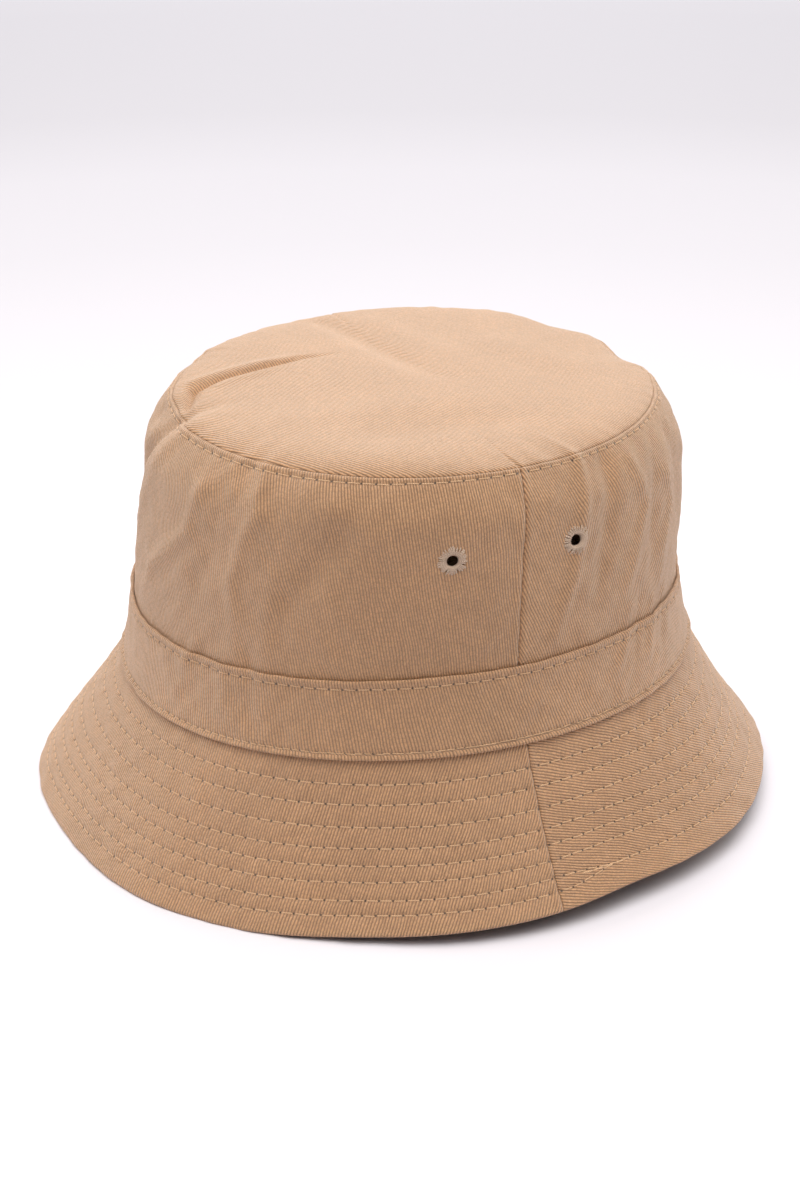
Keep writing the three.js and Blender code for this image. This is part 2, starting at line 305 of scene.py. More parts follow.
# Creases of the wall and the band: a path of (degrees round, mm down), then width and height in
# mm. Each fades towards the last point of its path. The deep one is the dent in the shoulder.
CREASES = [
    ([(179, -3), (163, 26), (156, 38)], 4.2, -3.2),
    ([(170, 1), (160, 10), (156, 16)], 6.0, -2.3),
    ([(184, 2), (177, 22), (166, 44)], 3.6, 0.8),
    ([(-161, 12), (-164, 28), (-177, 46), (-184, 64)], 2.8, 1.2),
    ([(-155, 14), (-157, 34), (-166, 58)], 4.0, -0.9),
    ([(-147, 2), (-146, 14), (-151, 37), (-149, 66)], 2.6, 1.0),
    ([(-151, 4), (-153, 40)], 3.2, -0.7),
    ([(-134, 7), (-127, 12)], 7.0, 1.6),
    ([(-128, 20), (-138, 42), (-142, 60)], 5.0, -1.5),
    ([(-141, 34), (-143, 70)], 3.4, 0.7),
    ([(-112, 12), (-106, 80)], 9.0, -0.6),
    ([(-74, 1), (-75, 18), (-77, 36), (-84, 68)], 2.6, 1.4),
    ([(-66, 6), (-68, 30), (-72, 60)], 4.2, -1.9),
    ([(-58, 8), (-54, 25), (-61, 50), (-64, 62)], 2.8, 1.2),
    ([(-48, 14), (-52, 56)], 3.6, -1.2),
    ([(-43, 20), (-41, 30), (-46, 46), (-49, 60)], 2.8, 1.0),
    ([(-60, 58), (-66, 84)], 2.0, 0.7),
    ([(-56, 58), (-61, 84)], 1.8, -0.6),
    ([(-51, 60), (-56, 88)], 2.0, 0.7),
    ([(-46, 60), (-50, 90)], 2.2, -0.6),
    ([(-25, 22), (-23, 60)], 8.0, 1.6),
    ([(1, 4), (1, 13)], 13.0, -3.4),
    ([(28, 0), (28, 12)], 13.0, -2.2),
    ([(-160, 62), (-166, 92)], 3.0, 0.9),
    ([(-152, 64), (-150, 90)], 3.0, 0.8),
    ([(-146, 62), (-143, 92)], 2.6, -0.6),
    ([(-36, 10), (-30, 50)], 4.0, -1.0),
    ([(30, 70), (26, 20)], 6.0, 1.1),
    ([(52, 4), (60, 54)], 4.5, -1.2),
    ([(75, 12), (70, 70)], 5.0, 1.0),
    ([(104, 5), (98, 60)], 5.0, -1.0),
    ([(122, 8), (128, 70)], 4.5, 1.0),
    ([(140, 4), (144, 54)], 5.0, -1.0),
]
UNEVENNESS = 0.045
BAND_STIFFNESS = 0.9
BRIM_WAVE_START = 25.0
HEM_CURL = 0.3
HEM_CURL_REACH = 7.0


def shape(angle, down):
    """How far the cloth stands out of its line, by its creases and slow waves."""
    total = waves(angle, down, 3, 0.8, (3, 5, 8)) + waves(angle, down, 4, 0.3, (13, 19, 27))
    for path, width, height in CREASES:
        middle = math.radians(path[len(path) // 2][0])
        path = [(math.radians(degrees) * CROWN_RADIUS, distance) for degrees, distance in path]
        total = total + crease(turned(angle, middle) * CROWN_RADIUS, down, path, width, height)
    on_band = np.clip((down - BAND_DOWN) / (HEAD_DOWN - BAND_DOWN), 0, 1)
    on_brim = np.clip((down - HEAD_DOWN) / BRIM_WAVE_START, 0, 1)
    brim = waves(angle, down, 9, 0.5, (4, 7, 11)) * on_brim
    curl = HEM_CURL * np.clip(1 - (BRIM_DOWN - down) / HEM_CURL_REACH, 0, 1) ** 2
    return total * (1 - BAND_STIFFNESS * on_band**2) + brim + curl + unevenness(angle, down)


# Where the brim's edge swells out, or draws in: degrees round, reach in degrees, and mm
SWELLS = [
    (-198, 14, 2.8), (-155, 11, 1.6), (-121, 11, -1.5), (-78, 9, -1.0), (-50, 12, 1.5), (-8, 14, -1.1)
]
# Where the head seam and the band lie higher or lower: degrees round, reach in degrees, and mm
TILTS = [(-78, 50, 2.0), (-180, 45, -4.4)]
# Where the brim bellies out halfway down
BELLY = 1.5
BELLY_MIDDLE = math.radians(160)
BELLY_REACH = math.radians(26)
# Where the wall bulges below the shoulder, and which way the crown leans
SHOULDER_BULGE = 1.8
SHOULDER_DOWN = 14.0
SHOULDER_REACH = 10.0
LEAN = 2.0
LEAN_TOWARDS = math.radians(-22.5)
BACK_RISE = 1.6
# How far the right side seam is off its place, at the top and on the brim
SEAM_DRIFT = math.radians(2.8)
DRIFT_FADE = 45.0
DRIFT_REACH = 0.7
BRIM_SEAM_DRIFT = math.radians(1.2)


def hat(angle, down, out=0.0):
    """The point at an angle round the hat, a distance down its cloth and a distance out of it."""
    angle, down, out = np.broadcast_arrays(angle, down, out)
    beside = near(turned(angle, RIGHT_SEAM), RIGHT_SEAM, DRIFT_REACH)
    drift = SEAM_DRIFT * np.exp(-down / DRIFT_FADE) + BRIM_SEAM_DRIFT * (down > HEAD_DOWN)
    length, *columns = LINE
    radius, height, out_r, out_z = (np.interp(down, length, column) for column in columns)
    part = np.clip((down - HEAD_DOWN) / (BRIM_DOWN - HEAD_DOWN), 0, 1)
    for degrees, reach, swell in SWELLS:
        middle = math.radians(degrees)
        radius = radius + swell * part * near(turned(angle, middle), middle, math.radians(reach))
    bellied = near(turned(angle, BELLY_MIDDLE), BELLY_MIDDLE, BELLY_REACH)
    radius = radius + BELLY * bellied * np.sin(math.pi * part**2)
    proud = out + shape(angle, down) + SHOULDER_BULGE * near(down, SHOULDER_DOWN, SHOULDER_REACH)
    point = place(angle + drift * beside, radius + proud * out_r, height + proud * out_z)
    upper = np.clip((height - BAND_TOP) / (TIP_HEIGHT - BAND_TOP), 0, 1)
    over = np.clip(down / BAND_DOWN, 0, 1)
    under = np.clip((BRIM_DOWN - down) / (BRIM_DOWN - HEAD_DOWN), 0, 1)
    for degrees, reach, rise in TILTS:
        middle = math.radians(degrees)
        tilt = rise * near(turned(angle, middle), middle, math.radians(reach))
        point[..., 2] += tilt * over**1.5 * under**1.3
    towards_back = 0.5 + 0.5 * np.sin(angle - LEAN_TOWARDS)
    point[..., 0] += LEAN * math.cos(LEAN_TOWARDS) * upper
    point[..., 1] += LEAN * math.sin(LEAN_TOWARDS) * upper
    point[..., 2] += BACK_RISE * upper**2 * towards_back**6
    return point


SEAM_PUFF = 0.22
PUFF_MIDDLE = 1.6
PUFF_REACH = 1.1
SEAM_TURN = 0.35


def into_seam(distance, depth=0.9):
    """The cloth beside a seam: it turns down into the seam, and puffs up next to it."""
    puff = SEAM_PUFF * near(distance, PUFF_MIDDLE, PUFF_REACH)
    return puff - depth * np.exp(-distance / SEAM_TURN)


EDGE_STEPS = np.array([0, 0.15, 0.32, 0.52, 0.8, 1.15, 1.55, 2.0, 2.5, 3.1, 3.8])


def stations(length, step):
    """Distances along a piece, closer together at its two ends."""
    first, last = EDGE_STEPS[-1], length - EDGE_STEPS[-1]
    between = np.linspace(first, last, max(round((last - first) / step), 1) + 1)[1:-1]
    return np.concatenate([EDGE_STEPS, between, length - EDGE_STEPS[::-1]])


def grid_faces(rows, columns, ring=False, tube=False):
    """Faces of a grid of points. A ring closes on its own columns, a tube also on its rows."""
    row = np.arange(rows if tube else rows - 1)[:, None]
    column = np.arange(columns if ring else columns - 1)[None, :]
    below, beside = (row + 1) % rows, (column + 1) % columns
    corners = (row * columns + column, below * columns + column,
               below * columns + beside, row * columns + beside)
    return np.stack(np.broadcast_arrays(*corners), -1).reshape(-1, 4)


def mesh_object(name, points, faces, material, **maps):
    """An object of four-sided faces, from points in mm. Each map holds a pair for each corner."""
    used, faces = np.unique(faces, return_inverse=True)
    faces = faces.reshape(-1, 4)
    mesh = bpy.data.meshes.new(name)
    mesh.vertices.add(len(used))
    mesh.vertices.foreach_set("co", (points.reshape(-1, 3)[used] * MM).ravel())
    mesh.loops.add(faces.size)
    mesh.loops.foreach_set("vertex_index", faces.ravel())
    mesh.polygons.add(len(faces))
    mesh.polygons.foreach_set("loop_start", np.arange(0, faces.size, 4))
    mesh.update(calc_edges=True)
    mesh.polygons.foreach_set("use_smooth", np.ones(len(faces), bool))
    for map_name, corners in maps.items():
        mesh.uv_layers.new(name=map_name).data.foreach_set("uv", corners.ravel())
    mesh.materials.append(material)
    return put(bpy.data.objects.new(name, mesh))


def give_thickness(piece, thickness):
    """Thickens a sheet towards its inside."""
    solid = piece.modifiers.new("thickness", "SOLIDIFY")
    solid.thickness = thickness * MM
    solid.offset = -1


STITCH = 4.3


class Row:
    """A row of stitches round the hat, from one angle to another, at a distance down the cloth."""

    def __init__(self, down, stitch=STITCH, start=RIGHT_SEAM, stop=FULL_TURN, shift=0.0):
        self.down = down if callable(down) else lambda angle: down + 0 * angle
        middle = float(self.down(np.array(start)))
        around = 2 * math.pi * np.interp(middle, LINE[0], LINE[1])
        self.count = round(around / stitch)
        self.start, self.stop, self.shift = start, stop, shift

    def phase(self, angle):
        """Counts the stitches up to an angle. The needle holes are at whole numbers."""
        return (angle - RIGHT_SEAM) * self.count / (2 * math.pi) + self.shift

    def holes(self):
        first, last = math.ceil(self.phase(self.start)), math.floor(self.phase(self.stop))
        return RIGHT_SEAM + (np.arange(first, last + 1) - self.shift) * 2 * math.pi / self.count


NO_STITCHES = 9.0


def stitch_map(faces, angle, down, rows):
    """For each face's corners: the phase of the nearest row, and the distance beside that row."""
    angle, down = (values.ravel()[faces] for values in np.broadcast_arrays(angle, down))
    middle_angle, middle_down = angle.mean(1), down.mean(1)
    beside = []
    for row in rows:
        lies = (middle_angle >= row.start) & (middle_angle <= row.stop)
        beside.append(np.where(lies, abs(middle_down - row.down(middle_angle)), 1e6))
    nearest = np.argmin(beside, 0)
    result = np.full((*faces.shape, 2), NO_STITCHES)
    for index, row in enumerate(rows):
        mine = nearest == index
        result[mine] = np.stack([row.phase(angle[mine]), down[mine] - row.down(angle[mine])], -1)
    return result


def on_the_grain(flat, lean):
    """Turns a flat pattern so that the twill's lines run along its first direction."""
    u, v = flat[..., 0], flat[..., 1]
    along = u * math.cos(lean) + v * math.sin(lean)
    return np.stack([along, v * math.cos(lean) - u * math.sin(lean)], -1)


def fan(angle, middle, spread, inner_radius, distance):
    """The flat pattern of a fan-shaped panel, seen from its right side."""
    reach = inner_radius / spread + distance
    turn = (angle - middle) * spread
    return np.stack(np.broadcast_arrays(reach * np.sin(turn), -reach * np.cos(turn)), -1)


# Cotton twill, piece-dyed: matt, with raised slanting lines about 1 mm apart, each made of short
# floats of yarn that differ a little, and a faint fuzz that pales it where it turns from the eye.
CAMEL = "#c3946a"
WALE = 0.96
FLOAT = 1.7
# Painted shade in the grooves between the lines and painted light on their tops, as shares of the
# cloth's colour
GROOVE_PAINTED_SHADE = 0.52
RIDGE_PAINTED_LIGHT = 1.1
WALE_RELIEF = 0.32
FUZZ_RELIEF = 0.16
PINCH_RELIEF = 0.35
# Painted shade in the needle holes and along the channel of each row, as shares taken off the colour
HOLE_PAINTED_SHADE = 0.82
CHANNEL_PAINTED_SHADE = 0.08

MATH = "ShaderNodeMath"
ADD, MULTIPLY, MULTIPLY_ADD, DIVIDE, FLOOR, FRACT, SINE, ABSOLUTE = (
    {"operation": name}
    for name in ("ADD", "MULTIPLY", "MULTIPLY_ADD", "DIVIDE", "FLOOR", "FRACT", "SINE", "ABSOLUTE")
)

twill, tree = new_material("cotton_twill")
pattern = node(tree, "ShaderNodeUVMap", {"uv_map": "pattern"})
noises = []
for scale, detail in ((0.05, 2.0), (0.9, 2.0), (2.2, 3.0), (0.035, 4.0)):
    inputs = {"Vector": pattern, "Scale": scale, "Detail": detail}
    noises.append(node(tree, "ShaderNodeTexNoise", None, inputs))
wander, wobble, fuzz, clouds = noises
along = node(tree, "ShaderNodeSeparateXYZ", None, {0: pattern})
across = node(tree, MATH, MULTIPLY_ADD, {0: wander, 1: 2.0, 2: along.node.outputs[1]})
across = node(tree, MATH, MULTIPLY_ADD, {0: wobble, 1: 0.30, 2: across})
lines = node(tree, MATH, DIVIDE, {0: across, 1: WALE})
line = node(tree, MATH, FLOOR, {0: lines})
slip = node(tree, "ShaderNodeTexWhiteNoise", {"noise_dimensions": "1D"}, {"W": line})
floats = node(tree, MATH, MULTIPLY_ADD, {0: along, 1: 1 / FLOAT, 2: slip})
arches = []
for counted in (lines, floats):
    turn = node(tree, MATH, FRACT, {0: counted})
    turn = node(tree, MATH, MULTIPLY, {0: turn, 1: math.pi})
    arches.append(node(tree, MATH, SINE, {0: turn}))
float_arch = node(tree, MATH, MULTIPLY_ADD, {0: arches[1], 1: 0.3, 2: 0.7})
relief = node(tree, MATH, MULTIPLY, {0: arches[0], 1: float_arch})
yarn = node(tree, "ShaderNodeCombineXYZ", None, {0: line, 1: node(tree, MATH, FLOOR, {0: floats})})
yarn_shade = node(tree, "ShaderNodeTexWhiteNoise", {"noise_dimensions": "2D"}, {"Vector": yarn})
# Painted shade and light: the colour darkens into the grooves and lightens on the tops of the lines
ramp = node(tree, "ShaderNodeValToRGB", None, {"Fac": relief})
low, high = ramp.node.color_ramp.elements
low.position = 0.05
low.color = [c * GROOVE_PAINTED_SHADE for c in linear(CAMEL)[:3]] + [1]
high.position = 0.8
high.color = [min(c * RIDGE_PAINTED_LIGHT, 1) for c in linear(CAMEL)[:3]] + [1]

# Along a row of stitches: needle holes, the pinch round each, and the channel they lie in. The holes and
# the channel are darkened in the colour as painted shade.
phase = node(tree, "ShaderNodeSeparateXYZ", None, {
    0: node(tree, "ShaderNodeUVMap", {"uv_map": "stitching"})})
beside = phase.node.outputs[1]
from_hole = node(tree, MATH, FRACT, {0: node(tree, MATH, ADD, {0: phase, 1: 0.5})})
from_hole = node(tree, MATH, MULTIPLY_ADD, {0: from_hole, 1: STITCH, 2: -STITCH / 2})
inputs = {0: node(tree, "ShaderNodeCombineXYZ", None, {0: from_hole, 1: beside})}
hole_distance = node(tree, "ShaderNodeVectorMath", {"operation": "LENGTH"}, inputs, 1)
aside = node(tree, MATH, ABSOLUTE, {0: beside})
marks = []
for distance, near_end, far_end in (
    (hole_distance, 0.18, 0.55), (hole_distance, 0.3, 1.5), (aside, 0.15, 1.0)
):
    inputs = {"Value": distance, "From Min": near_end, "From Max": far_end, "To Min": 1.0, "To Max": 0.0}
    marks.append(node(tree, "ShaderNodeMapRange", {"interpolation_type": "SMOOTHSTEP"}, inputs))
hole, pinch, channel = marks

# Each float has its own tone, which the dye and the fuzz change; the needle holes and the channel get
# painted shade
shade = node(tree, MATH, MULTIPLY_ADD, {0: yarn_shade, 1: 0.14, 2: 0.93})
for value, share, rest in (
    (clouds, 0.24, 0.88), (fuzz, 0.80, 0.61), (hole, -HOLE_PAINTED_SHADE, 1.0), (channel, -CHANNEL_PAINTED_SHADE, 1.0)
):
    factor = node(tree, MATH, MULTIPLY_ADD, {0: value, 1: share, 2: rest})
    shade = node(tree, MATH, MULTIPLY, {0: shade, 1: factor})
tint = node(tree, "ShaderNodeVectorMath", {"operation": "SCALE"}, {0: ramp, "Scale": shade})
height = node(tree, MATH, MULTIPLY, {0: relief, 1: WALE_RELIEF})
for value, share in ((fuzz, FUZZ_RELIEF), (pinch, -PINCH_RELIEF)):
    height = node(tree, MATH, MULTIPLY_ADD, {0: value, 1: share, 2: height})
surface_bump = node(tree, "ShaderNodeBump", None, {"Height": height, "Distance": MM})
surface = node(tree, "ShaderNodeBsdfPrincipled", None, {
    "Base Color": tint, "Normal": surface_bump, "Roughness": 0.58, "Specular IOR Level": 0.72,
    "Sheen Weight": 0.48, "Sheen Roughness": 0.5, "Sheen Tint": linear("#fff3e2"),
})
node(tree, "ShaderNodeOutputMaterial", None, {"Surface": surface})

EDGE_STITCH = 1.7
EDGE_STITCH_WIDER = 0.8
WIDER_MIDDLE = math.radians(-150)
WIDER_REACH = math.radians(35)
CROWN_SPREAD = math.radians(25) / math.pi
CROWN_STEP = 1.25
CROWN_PANELS = {
    "crown_side_front": (RIGHT_SEAM, math.radians(103.5)),
    "crown_side_rear": (LEFT_SEAM, math.radians(112.5)),
}
EYELET_DOWN = down_at(114.6)
EYELET_RADIUS = TIP_RADIUS * 1.1
EYELET_PUNCH = 2.3
EYELETS = {
    "eyelet_right_rear": RIGHT_SEAM - math.radians(15.3),
    "eyelet_right_front": RIGHT_SEAM + math.radians(12.5),
    "eyelet_left_front": LEFT_SEAM - math.radians(14),
    "eyelet_left_rear": LEFT_SEAM + math.radians(14),
}
TIP_EDGE_DEPTH = 1.0
TIP_EDGE_TURN = 0.32


def edge_stitch(angle):
    """How far below the tip's seam its row of stitches runs."""
    wider = near(turned(angle, WIDER_MIDDLE), WIDER_MIDDLE, WIDER_REACH)
    return EDGE_STITCH + EDGE_STITCH_WIDER * wider


tip_row = Row(edge_stitch, shift=0.4)


def crown_out(angle, down):
    """The side panels' face: turned in at the tip's seam and the side seams, held by stitches."""
    from_side = abs(turned(angle, RIGHT_SEAM) - RIGHT_SEAM)
    from_side = np.minimum(from_side, math.pi - from_side) * CROWN_RADIUS
    edge = TIP_EDGE_DEPTH * np.exp(-down / TIP_EDGE_TURN) + 0.2 * near(down, edge_stitch(angle), 0.8)
    return into_seam(from_side) - edge


def twill_panel(name, points, faces, flat, grain, stitching):
    """A panel of the twill, its flat pattern laid on the grain, its thickness to the inside."""
    pattern = on_the_grain(flat, grain).reshape(-1, 2)[faces]
    piece = mesh_object(name, points, faces, twill, pattern=pattern, stitching=stitching)
    give_thickness(piece, CLOTH)
    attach(piece, "hat")
    return piece


for name, (start, grain) in CROWN_PANELS.items():
    angle = start + stations(math.pi * CROWN_RADIUS, CROWN_STEP)[None, :] / CROWN_RADIUS
    down = stations(HEAD_DOWN, CROWN_STEP)[:, None]
    points = hat(angle, down, crown_out(angle, down))
    apart = [np.hypot((turned(angle, middle) - middle) * EYELET_RADIUS, down - EYELET_DOWN)
             for middle in EYELETS.values()]
    faces = grid_faces(*points.shape[:2])
    faces = faces[(np.min(apart, 0).ravel()[faces] > EYELET_PUNCH).all(1)]
    flat = fan(angle, start + math.pi / 2, CROWN_SPREAD, CROWN_RADIUS, down)
    stitching = stitch_map(faces, angle, down, [tip_row])
    panel = twill_panel(name + "_cloth", points, faces, flat, grain, stitching)
    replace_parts(panel, name)


# ------------------------------------------------
# Tip: the oval top of the crown, one piece of the same twill. Its edge turns down into the seam
# with the side panels. It is unlined too, so it sags and creases, most where the shoulder dents.
TIP_LEVEL = TIP_HEIGHT - 0.5
TIP_DOME = 1.0
TIP_FOLD = 0.45
TIP_FOLD_REACH = 0.3
TIP_SHOULDER = 2.9
TIP_SHOULDER_REACH = 7.0
SAG_START = 3.0
TIP_GRAIN = math.radians(124)
TIP_RINGS = 104
RIM_FADE = 10.0
# A path of (x, y), then width and height in mm
TIP_CREASES = [
    ([(-84, 1), (-76, 13), (-70, 21), (-58, 25)], 3.2, -1.7),
    ([(-77, 11), (-70, 21), (-60, 24), (-47, 27), (-28, 31), (-12, 30)], 1.1, -1.5),
    ([(-68, 27), (-46, 31), (-24, 34)], 2.6, 1.0),
    ([(-62, 20), (-34, 26)], 2.4, 0.4),
    ([(-7, 66), (6, -1), (14, -14)], 5.0, -1.2),
    ([(9, 58), (25, -6)], 6.0, 0.5),
    ([(-50, -18), (20, -28)], 9.0, 0.5),
    ([(-30, -42), (30, -48)], 8.0, -0.5),
    ([(40, 20), (62, -20)], 9.0, 0.7),
]


def disc_grid(rings, radii):
    """A square grid spread over a disc, so that it has no pole: angles and radii of its points."""
    step = np.arange(-rings, rings + 1)
    across, along = np.meshgrid(step, -step)
    ring = np.maximum(abs(across), abs(along))
    steep = abs(along) > abs(across)
    with np.errstate(divide="ignore", invalid="ignore"):
        share = np.where(steep, -across / along, along / across)
    angle = math.pi / 4 * share + np.where(steep, math.pi / 2, 0)
    angle = np.where(np.where(steep, along, across) < 0, angle + math.pi, angle)
    return np.nan_to_num(angle), radii[ring]


from_rim = np.concatenate([EDGE_STEPS, np.linspace(EDGE_STEPS[-1], TIP_RADIUS, TIP_RINGS - 9)[1:]])
angle, radius = disc_grid(TIP_RINGS, (TIP_RADIUS - from_rim)[::-1])
inward = TIP_RADIUS - radius
wide = radius + OVAL * np.cos(2 * angle) * radius / TIP_RADIUS
x = wide * np.cos(angle)
y = wide * np.sin(angle)
rise = TIP_DOME * (1 - (radius / TIP_RADIUS) ** 2)
rise = rise + TIP_FOLD * (1 - np.exp(-inward / TIP_FOLD_REACH))
rise = rise + TIP_SHOULDER * (1 - np.exp(-inward / TIP_SHOULDER_REACH))
sag = 0.5 * np.sin(x / 17 + 1) * np.cos(y / 21 + 0.4)
for crease_line in TIP_CREASES:
    sag = sag + crease(x, y, *crease_line)
rise = rise + sag * (1 - np.exp(-inward / SAG_START))
edge = hat(angle, 0.0, crown_out(angle, 0.0))
flat_edge = place(angle, TIP_RADIUS, TIP_LEVEL)
leant = np.array([LEAN * math.cos(LEAN_TOWARDS), LEAN * math.sin(LEAN_TOWARDS), 0])
points = np.stack([x, y, TIP_LEVEL + rise], -1) + leant
points = points + (edge - flat_edge - leant) * np.exp(-inward / RIM_FADE)[..., None]
faces = grid_faces(*points.shape[:2])
unstitched = np.full((*faces.shape, 2), NO_STITCHES)
tip = twill_panel("crown_tip_cloth", points, faces, np.stack([x, y], -1), TIP_GRAIN, unstitched)
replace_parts(tip, "crown_tip")


# ------------------------------------------------
# Band: a strip of the twill with both edges folded under, laid over the seam between crown and
# brim and stitched down along each edge. Its ends meet at the left side.
BAND_BOTTOM = 50.0
BAND_FOOT = HEAD_DOWN + (HEAD_SEAM - BAND_BOTTOM) * (BRIM_DOWN - HEAD_DOWN) / HEAD_SEAM
BAND_STITCH_TOP = 2.8
BAND_STITCH_BOTTOM = 2.3
BAND_LOOSE = 0.15
BAND_FACE = 1.5
BAND_GRAIN = math.radians(107)
BAND_SPREAD = -0.14
BAND_JOINS = (LEFT_SEAM - 2 * math.pi, LEFT_SEAM)
BAND_PUFF = 0.45
FOOT_PUFF = 0.3
BAND_DIP = 0.4
SHORT_STITCH = 2.9
BAND_TOP_ROW = BAND_DOWN + BAND_STITCH_TOP
BAND_BOTTOM_ROW = BAND_FOOT - BAND_STITCH_BOTTOM
band_top_row = Row(BAND_TOP_ROW, STITCH, *BAND_JOINS, shift=0.1)
band_bottom_row = Row(BAND_BOTTOM_ROW, SHORT_STITCH, *BAND_JOINS, shift=0.7)


def strip_loop(width, face, back, fold, step=1.4):
    """A flat strip's outline cut across: distances down it and out of it, with round edges."""
    bend = np.linspace(0, math.pi, 7)
    middle, half = (face + back) / 2, (face - back) / 2
    outer = np.linspace(fold, width - fold, round(width / step))
    down = np.concatenate([outer, width - fold + fold * np.sin(bend)[1:-1],
                           outer[::-1], fold - fold * np.sin(bend)[1:-1]])
    out = np.concatenate([0 * outer + face, middle + half * np.cos(bend)[1:-1],
                          0 * outer + back, middle - half * np.cos(bend)[1:-1]])
    return down, out


def band_face(angle, down):
    """How far the band's face stands out of the hat's line: puffed, held in by its stitches."""
    from_join = abs(turned(angle, LEFT_SEAM) - LEFT_SEAM) * HEAD_RADIUS
    held = near(down, BAND_TOP_ROW, 0.9) + near(down, BAND_BOTTOM_ROW, 0.9)
    puff = BAND_PUFF * near(down, (BAND_DOWN + BAND_FOOT) / 2, 8)
    puff = puff + FOOT_PUFF * near(down, BAND_FOOT, 2)
    return BAND_FACE + puff - BAND_DIP * held + 0.8 * into_seam(from_join)


WELD = 0.02


def close_ring(piece):
    """Joins the two ends of a strip that goes right round the hat."""
    work = bmesh.new()
    work.from_mesh(piece.data)
    bmesh.ops.remove_doubles(work, verts=work.verts, dist=WELD * MM)
    work.to_mesh(piece.data)
    work.free()


band_down, band_out = strip_loop(BAND_FOOT - BAND_DOWN, BAND_FACE, BAND_LOOSE, 0.9, 0.8)
band_down = (band_down + BAND_DOWN)[:, None]
band_out = band_out[:, None]
turns = np.linspace(*BAND_JOINS, 541)[None, :]
part = np.clip((band_out - BAND_LOOSE) / (BAND_FACE - BAND_LOOSE), 0, 1)
points = hat(turns, band_down, band_out + part * (band_face(turns, band_down) - BAND_FACE))
faces = grid_faces(*points.shape[:2], tube=True)
flat = fan(turns, RIGHT_SEAM, BAND_SPREAD, HEAD_RADIUS, band_down - BAND_DOWN)
pattern = on_the_grain(flat, BAND_GRAIN).reshape(-1, 2)[faces]
stitching = stitch_map(faces, turns, band_down, [band_top_row, band_bottom_row])
is_face = np.broadcast_to(part > 0.9, points.shape[:2]).ravel()[faces].all(1)
stitching[~is_face] = NO_STITCHES
band = mesh_object("crown_band_strip", points, faces, twill, pattern=pattern, stitching=stitching)
close_ring(band)
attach(band, "hat")
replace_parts(band, "crown_band")


# ------------------------------------------------
# Brim tops: two wide fans of the twill, seamed at the sides like the crown, turned under along
# the brim's edge and quilted to the layers below by concentric rows of stitches.
ROW_SLANTS = [7.7, 14.3, 21.6, 28.5, 34.2, 39.6, 45.6, 50.5]
FRONT_EDGE_SLANT = 48.0
MERGE_START = RIGHT_SEAM + math.radians(1.5)
MERGE_STOP = RIGHT_SEAM + math.radians(12)
BRIM_SPREAD = math.radians(82) / math.pi
BRIM_GRAIN = math.radians(120)
REAR_BRIM_GRAIN = math.radians(104)
BRIM_STEP = 0.85
HEM_RADIUS = 1.1
HEM_DOWN = BRIM_DOWN - HEM_RADIUS - 0.5
HEM_BEND = math.radians(115)
HEM_PUFF = 0.12
QUILT_DIP = 0.34
UNDER_DIP = 0.3
DIP_REACH = 1.0
DIP_END = 1.5


def merged(first, last):
    """A row's distance down the cloth that slides from one slant to another beside the seam."""
    def down(angle):
        part = np.clip((angle - MERGE_START) / (MERGE_STOP - MERGE_START), 0, 1)
        return BAND_FOOT + first + (last - first) * part * part * (3 - 2 * part)
    return down


brim_rows = {}
for number, slant in enumerate(ROW_SLANTS[:6], 1):
    brim_rows[f"brim_stitching_{number}"] = Row(BAND_FOOT + slant, shift=0.37 * number)
seventh, eighth = ROW_SLANTS[6:]
brim_rows["brim_stitching_7"] = Row(merged(seventh, FRONT_EDGE_SLANT), stop=LEFT_SEAM, shift=0.3)
brim_rows["brim_stitching_7_rear"] = Row(BAND_FOOT + seventh, start=LEFT_SEAM, shift=0.3)
brim_rows["brim_stitching_8"] = Row(BAND_FOOT + eighth, start=LEFT_SEAM, shift=0.8)
eighth_end = merged(eighth, FRONT_EDGE_SLANT)
brim_rows["brim_stitching_8_end"] = Row(eighth_end, stop=MERGE_STOP, shift=0.8)


def quilted(angle, down, dip=QUILT_DIP):
    """How far the rows of stitches pull the brim's cloth in."""
    total = 0 * angle + 0 * down
    reach = DIP_END / BRIM_RADIUS
    for row in brim_rows.values():
        begun = np.clip((angle - row.start) / reach + 1, 0, 1)
        unended = np.clip((row.stop - angle) / reach + 1, 0, 1)
        total = np.maximum(total, near(down, row.down(angle), DIP_REACH) * begun * unended)
    return -dip * total


def hem_line(step, bend=HEM_BEND):
    """Down the brim's cloth and round its edge: distances down and out, and along the cloth."""
    flat = np.linspace(HEAD_DOWN, HEM_DOWN, round((HEM_DOWN - HEAD_DOWN) / step))
    turn = np.linspace(0, bend, 9)[1:]
    down = np.concatenate([flat, HEM_DOWN + HEM_RADIUS * np.sin(turn)])
    out = np.concatenate([0 * flat, HEM_RADIUS * (np.cos(turn) - 1)])
    along = np.concatenate([flat, HEM_DOWN + HEM_RADIUS * turn])
    return down[:, None], out[:, None], along[:, None]


def from_sides(angle, start):
    """How far a point of a brim panel is from the nearer of its side seams."""
    return np.minimum(angle - start, start + math.pi - angle) * BRIM_RADIUS


down, out, along_cloth = hem_line(BRIM_STEP)
every_row = list(brim_rows.values())
for name, start, grain in (
    ("brim_top_front", RIGHT_SEAM, BRIM_GRAIN), ("brim_top_rear", LEFT_SEAM, REAR_BRIM_GRAIN)
):
    angle = start + stations(math.pi * BRIM_RADIUS, 1.5)[None, :] / BRIM_RADIUS
    relief = quilted(angle, down) + into_seam(from_sides(angle, start), 0.6)
    relief = relief + HEM_PUFF * near(down, HEM_DOWN - 2, 2)
    points = hat(angle, down, out + relief)
    faces = grid_faces(*points.shape[:2])
    flat = fan(angle, start + math.pi / 2, BRIM_SPREAD, HEAD_RADIUS, along_cloth - HEAD_DOWN)
    stitching = stitch_map(faces, angle, down, every_row)
    top = twill_panel(name + "_cloth", points, faces, flat, grain, stitching)
    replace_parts(top, name)


